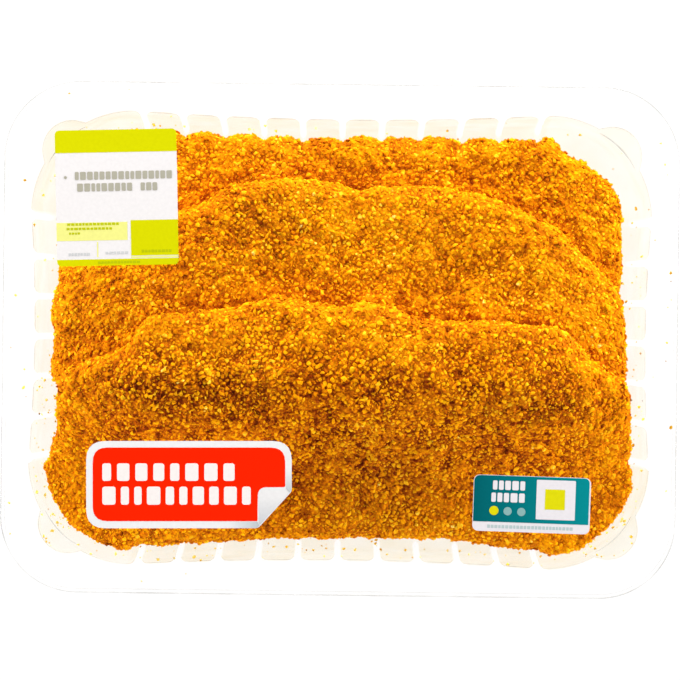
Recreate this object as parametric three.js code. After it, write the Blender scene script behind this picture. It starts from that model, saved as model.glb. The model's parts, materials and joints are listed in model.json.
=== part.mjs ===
// A clear fluted tray of three breaded schnitzels. They are shingled from back to front, the front one on
// top, and sealed under a flat film that carries three stickers.
// Millimetres, +Z up. The origin is the middle of the tray's underside, X runs along its long side and its
// front is at -Y.
import * as THREE from "three";

// ---- Tray: rim ----
const TRAY_LENGTH = 227;
const TRAY_WIDTH = 172;
const TRAY_HEIGHT = 40;
const TRAY_CORNER_RADIUS = 26;
const WALL = 0.45; // thickness of the plastic
const LIP_DROP = 3; // how far the rim's outer edge turns down
const RIM_BEVEL = 0.7;
const RIM_CORNER_STEPS = 8;
const RIM_CORNERS = [[1, -1], [1, 1], [-1, 1], [-1, -1]];

// ---- Tray: opening and walls ----
const OPENING_LENGTH = 209;
const OPENING_WIDTH = 153;
const OPENING_CORNER_RADIUS = 35;
const LONG_RUN = OPENING_LENGTH / 2 - OPENING_CORNER_RADIUS; // half of a long wall between its corners
const SHORT_RUN = OPENING_WIDTH / 2 - OPENING_CORNER_RADIUS;
const LONG_WALL = { run: LONG_RUN, reach: OPENING_WIDTH / 2, bow: 2.2, panels: 10, pitch: 13.4 };
const SHORT_WALL = { run: SHORT_RUN, reach: OPENING_LENGTH / 2, bow: 1.6, panels: 6, pitch: 13.5 };
const RIB_DEPTH = 1.8; // how far the narrow ribs between the flutes stand into the tray
const CORNER_ANGLES = [6, 18, 29, 36, 45, 54, 61, 72, 84]; // degrees round each corner's arc
const LOBE_RADIUS = 10.4; // the pocket at each corner, which keeps stacked trays from jamming
const LOBE_OFFSET = 29.9; // from the corner arc's centre to the pocket's centre

// Levels of the wall's inner face from the rim to the floor. inset is how far the face has moved in from
// the opening. foot and tip are a rib's width where it leaves the wall and at its crest.
const WALL_LEVELS = [
  { z: TRAY_HEIGHT, inset: 0, foot: 3.0, tip: 0.9, depth: RIB_DEPTH, lobed: true },
  { z: TRAY_HEIGHT - 1, inset: 0.7, foot: 2.5, tip: 1.0, depth: RIB_DEPTH, lobed: true },
  { z: TRAY_HEIGHT - 6, inset: 1.1, foot: 2.3, tip: 1.0, depth: RIB_DEPTH, lobed: true },
  { z: TRAY_HEIGHT - 6.6, inset: 1.2, foot: 2.3, tip: 1.0, depth: RIB_DEPTH, lobed: false },
  { z: 4, inset: 3.3, foot: 2.1, tip: 1.1, depth: RIB_DEPTH, lobed: false },
  { z: WALL, inset: 6.5, foot: 2.0, tip: 0.8, depth: 0.3, lobed: false },
];
const CHAMFER_LEVEL = 1; // a step that only the wall's inner face has

// ---- Schnitzels ----
const THICKNESS = 10.5;
const END_TAPER = 1.2; // how much thinner a schnitzel is towards its two ends
const TAPER_FROM = 70;
const TAPER_TO = 100;
const LAYER_GAP = 0.6;
const BED = WALL + 0.3; // height of the lowest undersides
const FOOD_INSET = 3; // the walls' inset at the height of the schnitzels' edges
const WALL_CLEARANCE = 1.2;

// Each schnitzel's outline runs anticlockwise through its points. laps is how many schnitzels lie under its
// back part, and between droop[0] and droop[1] along Y it comes down from them to the floor. Hollows are
// shallow dips in its top.
const SCHNITZELS = [
  {
    name: "schnitzel_back",
    samples: 104,
    laps: 0,
    droop: [-1, 0],
    outline: [
      [78, -13], [91, -3], [94.5, 13], [96, 27], [95, 37], [96.2, 45], [92.8, 53.5], [84, 60.5], [76, 64.5],
      [69, 71], [40, 73.5], [0, 73.5], [-40, 73.5], [-70, 72], [-87, 63], [-95, 44], [-95.5, 20], [-92, 0],
      [-78, -12], [-40, -14], [0, -15], [40, -14],
    ],
    hollows: [{ x: 50, y: 58, radius: 9, depth: 1.2 }, { x: -5, y: 62, radius: 8, depth: 0.9 }],
  },
  {
    name: "schnitzel_middle",
    samples: 84,
    laps: 1,
    droop: [-33, -13],
    outline: [
      [93, -22], [97.6, -9], [96.2, 2], [96.5, 10], [92.8, 19], [83, 29.8], [71, 39.5], [56, 46.5], [38, 52],
      [12, 52], [3.5, 50.6], [-2, 53.5], [-26, 53.5], [-41, 51.5], [-46, 45], [-58, 43.5], [-76, 41],
      [-89, 34], [-95, 22], [-97.9, 8], [-96.3, 0], [-97.6, -8], [-95.5, -19], [-87, -28], [-66, -33],
      [-30, -34], [10, -33], [45, -34], [78, -31],
    ],
    hollows: [
      { x: 3, y: 39, radius: 9, depth: 1.3 },
      { x: 20, y: 33, radius: 9, depth: 1.7 },
      { x: 37, y: 20, radius: 10, depth: 1.5 },
      { x: -68, y: 24, radius: 14, depth: 1.2 },
    ],
  },
  {
    name: "schnitzel_front",
    samples: 84,
    laps: 2,
    droop: [-52, -14],
    outline: [
      [86, -71.2], [95.5, -62], [100.3, -53], [102, -41], [100.6, -30], [99.4, -18], [96, -12.2], [89, -9.5],
      [83, -3.5], [78.5, 2.4], [73, 5.2], [50, 7], [24, 8.5], [18, 11.6], [6, 12], [-4, 11], [-16, 14.2],
      [-28, 13.4], [-36, 10.6], [-56, 8.3], [-67, 5.6], [-71, -3], [-78, -6.6], [-88, -8.4], [-95, -14],
      [-95.8, -30], [-99.4, -45], [-94.5, -61], [-84, -70], [-70, -73.2], [-52, -71.2], [-30, -68.5],
      [0, -67.4], [40, -67.8], [68, -71.3],
    ],
    hollows: [
      { x: -42, y: -9, radius: 15, depth: 1.6 },
      { x: 62, y: -34, radius: 15, depth: 1.5 },
      { x: -76, y: -28, radius: 14, depth: 1.4 },
      { x: 14, y: -44, radius: 18, depth: 1.0 },
    ],
  },
];

// Sections of a schnitzel from the middle of its underside round its rounded edge to the middle of its top.
// scale is the section's size about the spine, and height its share of the thickness.
const SECTIONS = [
  { scale: 0.3, height: 0 },
  { scale: 0.62, height: 0 },
  { scale: 0.94, height: 0.03 },
  { scale: 1, height: 0.42 },
  { scale: 0.965, height: 0.76 },
  { scale: 0.885, height: 0.93 },
  { scale: 0.7, height: 1 },
  { scale: 0.45, height: 1 },
  { scale: 0.2, height: 1 },
];
const SPINE_HALF = 52; // half of the line along X that the sections shrink towards
const RIPPLE = 0.35; // depth of the tops' shallow unevenness
const RIPPLE_X = 23;
const RIPPLE_Y = 15;

// ---- Film and stickers ----
const FILM_INSET = 0.9; // from the rim's outer edge to the film's edge
const FILM_THICKNESS = 0.15;
const STICKER_THICKNESS = 0.15;
const STICKER_CORNER_STEPS = 4;
const PRICE_LABEL = { width: 40.8, height: 45.6, radius: 1.5, x: -75.5, y: 46.9, turn: 1.8 };
const RED_STICKER = { width: 69, height: 29.3, radius: 4, x: -49.6, y: -48.9, turn: 0.7, cut: [11.3, 12.4] };
const TEAL_LABEL = { width: 39.4, height: 18.9, radius: 2, x: 65, y: -54.4, turn: -1.3 };

// ---- Materials ----
const clearPlastic = new THREE.MeshStandardMaterial({
  color: 0xf7f7f2,
  roughness: 0.12,
  metalness: 0,
  transparent: true,
  opacity: 0.35,
});
const film = new THREE.MeshStandardMaterial({
  color: 0xffffff,
  roughness: 0.08,
  metalness: 0,
  transparent: true,
  opacity: 0.15,
});
const breading = new THREE.MeshStandardMaterial({ color: 0xd2800f, roughness: 0.85, metalness: 0 });
const limeLabel = new THREE.MeshStandardMaterial({ color: 0xe5e401, roughness: 0.5, metalness: 0 });
const redLabel = new THREE.MeshStandardMaterial({ color: 0xfb2f0a, roughness: 0.4, metalness: 0 });
const tealLabel = new THREE.MeshStandardMaterial({ color: 0x0e7e83, roughness: 0.4, metalness: 0 });

// ---- Faces ----
// A shape is a list of triangles, each three points anticlockwise seen from outside. Rings run anticlockwise
// seen from above.

// The band of faces between two rings of equally many points, met in this order along the outer surface.
function band(from, to) {
  return from.flatMap((point, i) => {
    const next = (i + 1) % from.length;
    return [
      [point, from[next], to[next]],
      [point, to[next], to[i]],
    ];
  });
}

// The bands through a list of rings.
function loft(rings) {
  return rings.slice(1).flatMap((ring, i) => band(rings[i], ring));
}

// The faces from a middle point out to the first ring of a surface.
function openingFan(centre, ring) {
  return ring.map((point, i) => [centre, ring[(i + 1) % ring.length], point]);
}

// The faces from the last ring of a surface in to a middle point.
function closingFan(ring, centre) {
  return ring.map((point, i) => [point, ring[(i + 1) % ring.length], centre]);
}

// The flat faces between an outer and an inner ring of any number of points.
function flatFrame(outer, inner, facesUp) {
  const flat = (ring) => ring.map((point) => new THREE.Vector2(point.x, point.y));
  const points = [...outer, ...inner];
  return THREE.ShapeUtils.triangulateShape(flat(outer), [flat(inner)]).map((corners) => {
    const [a, b, c] = corners.map((corner) => points[corner]);
    const turnsLeft = (b.x - a.x) * (c.y - a.y) - (b.y - a.y) * (c.x - a.x) > 0;
    return turnsLeft === facesUp ? [a, b, c] : [a, c, b];
  });
}

function meshOf(name, faces, material) {
  const geometry = new THREE.BufferGeometry().setFromPoints(faces.flat());
  geometry.computeVertexNormals();
  const mesh = new THREE.Mesh(geometry, material);
  mesh.name = name;
  return mesh;
}

function smoothstep(value, from, to) {
  return THREE.MathUtils.smoothstep(value, from, to);
}

// ---- Tray ----
function bowAt(wall, along) {
  return wall.bow * Math.max(0, 1 - (along / wall.run) ** 2);
}

// The distance from a corner arc's centre to the pocket's far side, in the direction off degrees from the
// diagonal, or 0 where that direction misses the pocket.
function lobeReach(off, radius) {
  const angle = THREE.MathUtils.degToRad(off);
  const aside = LOBE_OFFSET * Math.sin(angle);
  return Math.abs(aside) < radius ? LOBE_OFFSET * Math.cos(angle) + Math.sqrt(radius ** 2 - aside ** 2) : 0;
}

// One wall and the corner after it, with the wall's outward normal at facing degrees. grow moves the face
// outwards and thin narrows the ribs.
function wallAndCorner(wall, facing, level, grow, thin) {
  const outward = new THREE.Vector2(1, 0).rotateAround(new THREE.Vector2(), THREE.MathUtils.degToRad(facing));
  const forward = new THREE.Vector2(-outward.y, outward.x);
  const at = (along, out) => forward.clone().multiplyScalar(along).addScaledVector(outward, out);
  const points = [];
  for (let rib = 0; rib <= wall.panels; rib++) {
    const middle = (rib - wall.panels / 2) * wall.pitch;
    const face = wall.reach + grow - bowAt(wall, middle);
    const foot = level.foot / 2 - thin;
    const tip = level.tip / 2 - thin / 2;
    points.push(at(middle - foot, face), at(middle - tip, face - level.depth));
    points.push(at(middle + tip, face - level.depth), at(middle + foot, face));
  }
  const centre = at(wall.run, wall.reach - OPENING_CORNER_RADIUS);
  for (const degrees of CORNER_ANGLES) {
    const lobe = level.lobed ? lobeReach(degrees - 45, LOBE_RADIUS + grow) : 0;
    const radius = Math.max(OPENING_CORNER_RADIUS + grow, lobe);
    const arm = outward.clone().rotateAround(new THREE.Vector2(), THREE.MathUtils.degToRad(degrees));
    points.push(centre.clone().addScaledVector(arm, radius));
  }
  return points;
}

// A ring of the wall's inner face, or with a skin of its outer face.
function wallRing(level, skin = 0) {
  const grow = skin - level.inset;
  const walls = [LONG_WALL, SHORT_WALL, LONG_WALL, SHORT_WALL];
  return walls
    .flatMap((wall, i) => wallAndCorner(wall, i * 90 - 90, level, grow, skin / 2))
    .map((point) => new THREE.Vector3(point.x, point.y, level.z - skin));
}

function rimRing(inset, z) {
  const ring = [];
  const radius = TRAY_CORNER_RADIUS - inset;
  for (const [quarter, [side, end]] of RIM_CORNERS.entries()) {
    for (let step = 0; step <= RIM_CORNER_STEPS; step++) {
      const angle = ((quarter - 1 + step / RIM_CORNER_STEPS) * Math.PI) / 2;
      const x = side * (TRAY_LENGTH / 2 - TRAY_CORNER_RADIUS) + radius * Math.cos(angle);
      const y = end * (TRAY_WIDTH / 2 - TRAY_CORNER_RADIUS) + radius * Math.sin(angle);
      ring.push(new THREE.Vector3(x, y, z));
    }
  }
  return ring;
}

function makeTray() {
  const inner = WALL_LEVELS.map((level) => wallRing(level));
  const outer = WALL_LEVELS.filter((level, i) => i !== CHAMFER_LEVEL)
    .map((level) => wallRing(level, WALL))
    .reverse();
  const lip = [
    rimRing(WALL, TRAY_HEIGHT - WALL),
    rimRing(WALL, TRAY_HEIGHT - LIP_DROP),
    rimRing(0, TRAY_HEIGHT - LIP_DROP),
    rimRing(0, TRAY_HEIGHT - RIM_BEVEL),
    rimRing(RIM_BEVEL, TRAY_HEIGHT),
  ];
  return meshOf(
    "tray",
    [
      ...openingFan(new THREE.Vector3(0, 0, 0), outer[0]),
      ...loft(outer),
      ...flatFrame(lip[0], outer.at(-1), false),
      ...loft(lip),
      ...flatFrame(lip.at(-1), inner[0], true),
      ...loft(inner),
      ...closingFan(inner.at(-1), new THREE.Vector3(0, 0, WALL)),
    ],
    clearPlastic,
  );
}

// ---- Schnitzels ----
// How far a wall lets the food reach at a distance along it: the food bulges into the flutes and is
// dented by the ribs.
function foodReach(wall, along) {
  const onRibs = Math.abs(along) < (wall.panels / 2 + 0.5) * wall.pitch;
  const dent = onRibs ? RIB_DEPTH * (0.5 + 0.5 * Math.cos((2 * Math.PI * along) / wall.pitch)) : 0;
  return wall.reach - FOOD_INSET - WALL_CLEARANCE - bowAt(wall, along) - dent;
}

// A point of an outline, moved in where it would pass the tray's walls or corners.
function insideTray(point) {
  const x = Math.min(Math.abs(point.x), foodReach(SHORT_WALL, point.y));
  const y = Math.min(Math.abs(point.y), foodReach(LONG_WALL, point.x));
  const pastRuns = new THREE.Vector2(Math.max(x - LONG_RUN, 0), Math.max(y - SHORT_RUN, 0));
  const most = OPENING_CORNER_RADIUS - FOOD_INSET - WALL_CLEARANCE;
  const kept = pastRuns.clone().clampLength(0, most);
  return new THREE.Vector2(
    Math.sign(point.x) * (x - pastRuns.x + kept.x),
    Math.sign(point.y) * (y - pastRuns.y + kept.y),
  );
}

function taperAt(x) {
  return END_TAPER * smoothstep(Math.abs(x), TAPER_FROM, TAPER_TO);
}

// Height of a schnitzel's underside, draped over those below it.
function underside(schnitzel, x, y) {
  const lap = THICKNESS + LAYER_GAP - taperAt(x);
  return BED + schnitzel.laps * lap * smoothstep(y, ...schnitzel.droop);
}

function dipAt(schnitzel, x, y) {
  const dips = schnitzel.hollows.map((hollow) => {
    const distance = Math.hypot(x - hollow.x, y - hollow.y) / hollow.radius;
    return hollow.depth * Math.exp(-(distance ** 2));
  });
  const ripple = RIPPLE * (1 + Math.sin(x / RIPPLE_X + schnitzel.laps) * Math.cos(y / RIPPLE_Y));
  return ripple + dips.reduce((sum, dip) => sum + dip, 0);
}

function makeSchnitzel(schnitzel) {
  const through = schnitzel.outline.map(([x, y]) => new THREE.Vector3(x, y, 0));
  const curve = new THREE.CatmullRomCurve3(through, true, "centripetal");
  const outline = curve.getSpacedPoints(schnitzel.samples).slice(0, -1).map(insideTray);
  const spineY = outline.reduce((sum, point) => sum + point.y, 0) / outline.length;
  const heightAt = (x, y, share) => {
    const thick = (THICKNESS - taperAt(x)) * share;
    return underside(schnitzel, x, y) + thick - dipAt(schnitzel, x, y) * smoothstep(share, 0.5, 1);
  };
  const rings = SECTIONS.map(({ scale, height }) =>
    outline.map((point) => {
      const spineX = THREE.MathUtils.clamp(point.x, -SPINE_HALF, SPINE_HALF);
      const x = spineX + (point.x - spineX) * scale;
      const y = spineY + (point.y - spineY) * scale;
      return new THREE.Vector3(x, y, heightAt(x, y, height));
    }),
  );
  return meshOf(
    schnitzel.name,
    [
      ...openingFan(new THREE.Vector3(0, spineY, heightAt(0, spineY, 0)), rings[0]),
      ...loft(rings),
      ...closingFan(rings.at(-1), new THREE.Vector3(0, spineY, heightAt(0, spineY, 1))),
    ],
    breading,
  );
}

// ---- Film and stickers ----
// A rectangle about the origin with rounded corners, or with the lower right one cut off.
function roundedShape({ width, height, radius, cut }) {
  const x = width / 2;
  const y = height / 2;
  const quarter = Math.PI / 2;
  const shape = new THREE.Shape();
  if (cut) {
    shape.moveTo(x - cut[0], -y);
    shape.lineTo(x, -y + cut[1]);
  } else {
    shape.absarc(x - radius, -y + radius, radius, -quarter, 0);
  }
  shape.absarc(x - radius, y - radius, radius, 0, quarter);
  shape.absarc(-x + radius, y - radius, radius, quarter, 2 * quarter);
  shape.absarc(-x + radius, -y + radius, radius, 2 * quarter, 3 * quarter);
  return shape;
}

function sheet(name, shape, thickness, steps, material) {
  const geometry = new THREE.ExtrudeGeometry(shape, {
    depth: thickness,
    bevelEnabled: false,
    curveSegments: steps,
  });
  const mesh = new THREE.Mesh(geometry, material);
  mesh.name = name;
  return mesh;
}

function makeFilm() {
  const size = {
    width: TRAY_LENGTH - 2 * FILM_INSET,
    height: TRAY_WIDTH - 2 * FILM_INSET,
    radius: TRAY_CORNER_RADIUS - FILM_INSET,
  };
  const lid = sheet("film_lid", roundedShape(size), FILM_THICKNESS, RIM_CORNER_STEPS, film);
  lid.position.z = TRAY_HEIGHT;
  return lid;
}

function makeSticker(name, sticker, material) {
  const label = sheet(name, roundedShape(sticker), STICKER_THICKNESS, STICKER_CORNER_STEPS, material);
  label.position.set(sticker.x, sticker.y, TRAY_HEIGHT + FILM_THICKNESS);
  label.rotation.z = THREE.MathUtils.degToRad(sticker.turn);
  return label;
}

const pack = new THREE.Group();
pack.name = "schnitzel_pack";
pack.add(makeTray());
pack.add(...SCHNITZELS.map(makeSchnitzel));
pack.add(makeFilm());
pack.add(makeSticker("price_label", PRICE_LABEL, limeLabel));
pack.add(makeSticker("red_sticker", RED_STICKER, redLabel));
pack.add(makeSticker("teal_label", TEAL_LABEL, tealLabel));

export default pack;
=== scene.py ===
"""A clear fluted tray of three breaded schnitzels under a sealed film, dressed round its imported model.

Metres, +Z up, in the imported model's own frame: X along the tray, its front at -Y.
"""

import json
import math
import random

import bmesh
import bpy
import numpy as np
from mathutils import Matrix, Vector, noise
from mathutils.bvhtree import BVHTree

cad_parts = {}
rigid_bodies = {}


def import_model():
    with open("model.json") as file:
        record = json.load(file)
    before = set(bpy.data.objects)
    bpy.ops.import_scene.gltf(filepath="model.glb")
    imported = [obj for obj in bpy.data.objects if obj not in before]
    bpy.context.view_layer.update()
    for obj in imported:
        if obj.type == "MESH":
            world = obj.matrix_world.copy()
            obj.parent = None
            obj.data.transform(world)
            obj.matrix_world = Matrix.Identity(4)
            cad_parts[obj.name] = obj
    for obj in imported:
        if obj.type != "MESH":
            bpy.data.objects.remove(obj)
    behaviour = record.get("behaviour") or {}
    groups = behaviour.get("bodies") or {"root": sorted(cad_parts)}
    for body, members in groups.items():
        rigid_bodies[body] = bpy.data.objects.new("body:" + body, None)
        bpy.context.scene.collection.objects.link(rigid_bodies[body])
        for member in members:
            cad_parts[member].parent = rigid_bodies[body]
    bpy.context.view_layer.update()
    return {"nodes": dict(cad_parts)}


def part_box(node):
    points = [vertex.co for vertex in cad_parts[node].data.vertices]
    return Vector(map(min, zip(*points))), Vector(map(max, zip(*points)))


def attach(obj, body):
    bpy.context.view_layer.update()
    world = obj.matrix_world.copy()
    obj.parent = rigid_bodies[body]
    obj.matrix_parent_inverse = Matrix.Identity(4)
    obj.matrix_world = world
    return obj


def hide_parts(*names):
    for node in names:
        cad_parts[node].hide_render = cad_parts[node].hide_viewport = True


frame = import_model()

MM = 0.001
SCHNITZELS = ("schnitzel_back", "schnitzel_middle", "schnitzel_front")

# ---- The tray's sizes ----
TRAY_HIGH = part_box("tray")[1]
HALF_LENGTH = TRAY_HIGH.x
HALF_WIDTH = TRAY_HIGH.y
RIM_Z = TRAY_HIGH.z
RIM_CORNER = 26 * MM
WALL = 0.45 * MM
LIP_DROP = 3 * MM
OPENING_CORNER = 35 * MM
LONG_WALL = {"reach": HALF_WIDTH - 9.5 * MM, "bow": 2.2 * MM, "panels": 10, "pitch": 13.4 * MM}
SHORT_WALL = {"reach": HALF_LENGTH - 9 * MM, "bow": 1.6 * MM, "panels": 6, "pitch": 13.5 * MM}
LONG_WALL["run"] = SHORT_WALL["reach"] - OPENING_CORNER
SHORT_WALL["run"] = LONG_WALL["reach"] - OPENING_CORNER
RIB_DEPTH = 1.5 * MM
POCKET_RADIUS = 10.4 * MM
POCKET_OFFSET = 29.9 * MM
FILM_LOW, FILM_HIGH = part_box("film_lid")


# ---- Node helpers ----
def new_material(name):
    material = bpy.data.materials.new(name)
    material.use_nodes = True
    tree = material.node_tree
    tree.nodes.clear()
    return material, tree


def add_node(tree, kind, settings=None, **inputs):
    """A node with its settings, and its inputs set or linked. Underscores stand for an input's spaces."""
    node = tree.nodes.new(kind)
    for name, value in (settings or {}).items():
        setattr(node, name, value)
    for name, value in inputs.items():
        socket = node.inputs[name.replace("_", " ")]
        if isinstance(value, bpy.types.NodeSocket):
            tree.links.new(value, socket)
        else:
            socket.default_value = value
    return node


def wire(tree, source, socket):
    tree.links.new(source, socket)


def object_coords(tree):
    return tree.nodes.new("ShaderNodeTexCoord").outputs["Object"]


def attribute_of(tree, name):
    """The number that a mesh attribute holds."""
    return add_node(tree, "ShaderNodeAttribute", {"attribute_name": name}).outputs["Fac"]


def noise_of(tree, scale, detail=2.0, coords=None, roughness=0.5):
    node = add_node(tree, "ShaderNodeTexNoise", Scale=scale, Detail=detail, Roughness=roughness)
    wire(tree, coords or object_coords(tree), node.inputs["Vector"])
    return node.outputs["Fac"]


def spread(tree, value, low, high, to_low=0.0, to_high=1.0):
    """value mapped from low..high to to_low..to_high, clamped."""
    node = add_node(tree, "ShaderNodeMapRange")
    wire(tree, value, node.inputs[0])
    for i, number in enumerate((low, high, to_low, to_high), start=1):
        node.inputs[i].default_value = number
    return node.outputs[0]


def ramp(tree, value, stops):
    """A colour from value, through (position, colour) stops."""
    node = tree.nodes.new("ShaderNodeValToRGB")
    elements = node.color_ramp.elements
    while len(elements) < len(stops):
        elements.new(0.5)
    for element, (position, colour) in zip(elements, stops):
        element.position = position
        element.color = (*colour, 1)
    wire(tree, value, node.inputs[0])
    return node.outputs[0]


def mix_colour(tree, fac, a, b, blend="MIX"):
    node = add_node(tree, "ShaderNodeMix", {"data_type": "RGBA", "blend_type": blend})
    for value, socket in ((fac, node.inputs[0]), (a, node.inputs[6]), (b, node.inputs[7])):
        if isinstance(value, bpy.types.NodeSocket):
            wire(tree, value, socket)
        elif isinstance(value, tuple):
            socket.default_value = (*value, 1)
        else:
            socket.default_value = value
    return node.outputs[2]


def maths(tree, operation, a, b=0.0, clamp=False):
    node = add_node(tree, "ShaderNodeMath", {"operation": operation, "use_clamp": clamp})
    for value, socket in ((a, node.inputs[0]), (b, node.inputs[1])):
        if isinstance(value, bpy.types.NodeSocket):
            wire(tree, value, socket)
        else:
            socket.default_value = value
    return node.outputs[0]


def less(tree, value, share, reach):
    """value less a share of reach."""
    return maths(tree, "SUBTRACT", value, maths(tree, "MULTIPLY", share, reach))


def bump_of(tree, height, distance, strength=1.0):
    node = add_node(tree, "ShaderNodeBump", Strength=strength, Distance=distance)
    wire(tree, height, node.inputs["Height"])
    return node.outputs["Normal"]


def finish_surface(tree, shader):
    output = tree.nodes.new("ShaderNodeOutputMaterial")
    wire(tree, shader, output.inputs["Surface"])


def srgb(red, green, blue):
    """A linear colour from the usual 0 to 255 values."""
    def linear(value):
        share = value / 255
        return share / 12.92 if share <= 0.04045 else ((share + 0.055) / 1.055) ** 2.4

    return (linear(red), linear(green), linear(blue))


# ---- Materials ----
CRUMB_STOPS = [
    (0.0, srgb(126, 46, 0)),
    (0.2, srgb(194, 102, 0)),
    (0.4, srgb(234, 147, 0)),
    (0.6, srgb(247, 170, 2)),
    (0.8, srgb(252, 187, 14)),
    (0.95, srgb(255, 203, 44)),
    (1.0, srgb(255, 224, 112)),
]
LOOSE_STOPS = [
    (0.0, srgb(84, 44, 14)),
    (0.22, srgb(206, 150, 28)),
    (0.4, srgb(240, 200, 70)),
    (1.0, srgb(252, 236, 160)),
]
# Painted shade: the grey that clear plastic is darkened to along its folds.
CREASE_SHADE_GREY = (0.1, 0.09, 0.07)
# Painted bounce light: the cream that warm light from the food gives the clear walls.
BOUNCE_LIGHT_TINT = (0.915, 0.862, 0.72)
BED_STOPS = [
    (0.0, srgb(118, 42, 0)),
    (0.35, srgb(176, 82, 0)),
    (0.7, srgb(226, 132, 0)),
    (1.0, srgb(246, 168, 0)),
]


def front_field_share(tree, coords):
    """1 over the middle of the front schnitzel, where its breading is made darker, and 0 towards its edges.
    """
    parts = add_node(tree, "ShaderNodeSeparateXYZ", Vector=coords)
    sides = spread(tree, maths(tree, "ABSOLUTE", parts.outputs["X"]), 70 * MM, 92 * MM, 1.0, 0.0)
    behind = spread(tree, parts.outputs["Y"], -16 * MM, 2 * MM, 1.0, 0.0)
    front = spread(tree, parts.outputs["Y"], -62 * MM, -44 * MM, 0.0, 1.0)
    return maths(tree, "MULTIPLY", sides, maths(tree, "MULTIPLY", front, behind))


def darken_front_field(tree, value, coords, field_darkening, even):
    """value less a darkening over the middle of the front schnitzel: an even share, and more as painted shade
    in the gaps between clumps of crumbs.
    """
    gap_shade = spread(tree, noise_of(tree, 430, 1.0, coords), 0.33, 0.45, 1.0 + even, even)
    return less(tree, value, maths(tree, "MULTIPLY", front_field_share(tree, coords), gap_shade), field_darkening)


def crumb_material(name, stops, field_darkening=0.0, base=0.165):
    """Toasted crumbs: one tone for each grain, with painted shade darker towards the grain's foot and near
    another schnitzel, and, where asked, darker over the middle of the front schnitzel with painted shade in
    the gaps between clumps.
    """
    material, tree = new_material(name)
    coords = object_coords(tree)
    tone = maths(tree, "MULTIPLY", attribute_of(tree, "crumb_tone"), 0.5)
    # Painted shade: each grain lighter on its top and darker at its foot, by its height.
    crest = maths(tree, "MULTIPLY", attribute_of(tree, "crest"), 0.24)
    mottle = noise_of(tree, 1500, 2.0, coords)
    shade = maths(tree, "ADD", tone, crest)
    textures = (
        (mottle, 0.04),
        (noise_of(tree, 260, 1.0, coords), 0.16),
        (noise_of(tree, 38, 2.0, coords), 0.1),
    )
    even = base / len(textures)
    for texture, reach in textures:
        shade = maths(tree, "ADD", shade, spread(tree, texture, 0.3, 0.7, even - reach, even + reach))
    # Painted shade where another schnitzel lies near.
    shade = less(tree, shade, attribute_of(tree, "crevice_shade"), 0.5)
    if field_darkening:
        shade = darken_front_field(tree, shade, coords, field_darkening, 0.02)
    colour = ramp(tree, shade, stops)
    shader = add_node(tree, "ShaderNodeBsdfPrincipled", Base_Color=colour, Roughness=0.5)
    shader.inputs["Specular IOR Level"].default_value = 0.015
    wire(tree, bump_of(tree, mottle, 0.08 * MM, 0.4), shader.inputs["Normal"])
    finish_surface(tree, shader.outputs[0])
    return material


def bed_material(name, field_darkening=0.0):
    """The crumb layer between the grains, with painted shade darkest deep down and near another schnitzel,
    and darker over the middle of the front schnitzel where asked.
    """
    material, tree = new_material(name)
    coords = object_coords(tree)
    grain = noise_of(tree, 1100, 3.0, coords)
    # Painted shade: the bed is darker deep in the relief's hollows.
    depth = spread(tree, attribute_of(tree, "relief"), 0.2, 0.8, 0.5, 0.85)
    depth = maths(tree, "ADD", depth, spread(tree, grain, 0.3, 0.7, -0.25, 0.25))
    # Painted shade where another schnitzel lies near.
    depth = less(tree, depth, attribute_of(tree, "crevice_shade"), 0.7)
    if field_darkening:
        depth = darken_front_field(tree, depth, coords, field_darkening, 0.6)
    colour = ramp(tree, depth, BED_STOPS)
    shader = add_node(tree, "ShaderNodeBsdfPrincipled", Base_Color=colour, Roughness=0.75)
    shader.inputs["Specular IOR Level"].default_value = 0.03
    wire(tree, bump_of(tree, grain, 0.3 * MM, 0.8), shader.inputs["Normal"])
    finish_surface(tree, shader.outputs[0])
    return material


def clear_material(name, tint, haze, edge_haze, roughness, ripple_scale, ripple_height, grain_or_painted_light=False):
    """Clear plastic: hazier edge-on; with its option, painted shade greys it along its creases and painted
    bounce light from the food tints it cream.
    """
    material, tree = new_material(name)
    facing = add_node(tree, "ShaderNodeLayerWeight", Blend=0.35).outputs["Facing"]
    share = spread(tree, maths(tree, "POWER", facing, 2.6), 0.0, 1.0, haze, edge_haze)
    clouds = noise_of(tree, ripple_scale, 2.0)
    share = maths(tree, "MULTIPLY", share, spread(tree, clouds, 0.3, 0.7, 0.8, 1.2), clamp=True)
    colour = (*tint, 1)
    seen = (1, 1, 1, 1)
    # This option lays on painted shade along the folds and painted bounce light.
    if grain_or_painted_light:
        # Painted shade: grey lines along the plastic's folds.
        crease_shade = attribute_of(tree, "crease_shade")
        grey = maths(tree, "MULTIPLY", crease_shade, spread(tree, clouds, 0.35, 0.65, 0.2, 0.6))
        share = maths(tree, "MAXIMUM", share, grey)
        colour = mix_colour(tree, spread(tree, crease_shade, 0.0, 0.7), tint, CREASE_SHADE_GREY)
        # Painted bounce light: what is seen through the walls is tinted cream by light from the food.
        bounce_light = maths(tree, "MULTIPLY", attribute_of(tree, "bounce_light"), spread(tree, clouds, 0.3, 0.7, 0.6, 1.0))
        seen = mix_colour(tree, bounce_light, (1.0, 1.0, 1.0), BOUNCE_LIGHT_TINT)
    clear = add_node(tree, "ShaderNodeBsdfTransparent", Color=seen)
    solid = add_node(tree, "ShaderNodeBsdfPrincipled", Base_Color=colour, Roughness=roughness, IOR=1.5)
    wire(tree, bump_of(tree, clouds, ripple_height, 0.4), solid.inputs["Normal"])
    mixed = tree.nodes.new("ShaderNodeMixShader")
    wire(tree, share, mixed.inputs[0])
    wire(tree, clear.outputs[0], mixed.inputs[1])
    wire(tree, solid.outputs[0], mixed.inputs[2])
    finish_surface(tree, mixed.outputs[0])
    return material


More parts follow.
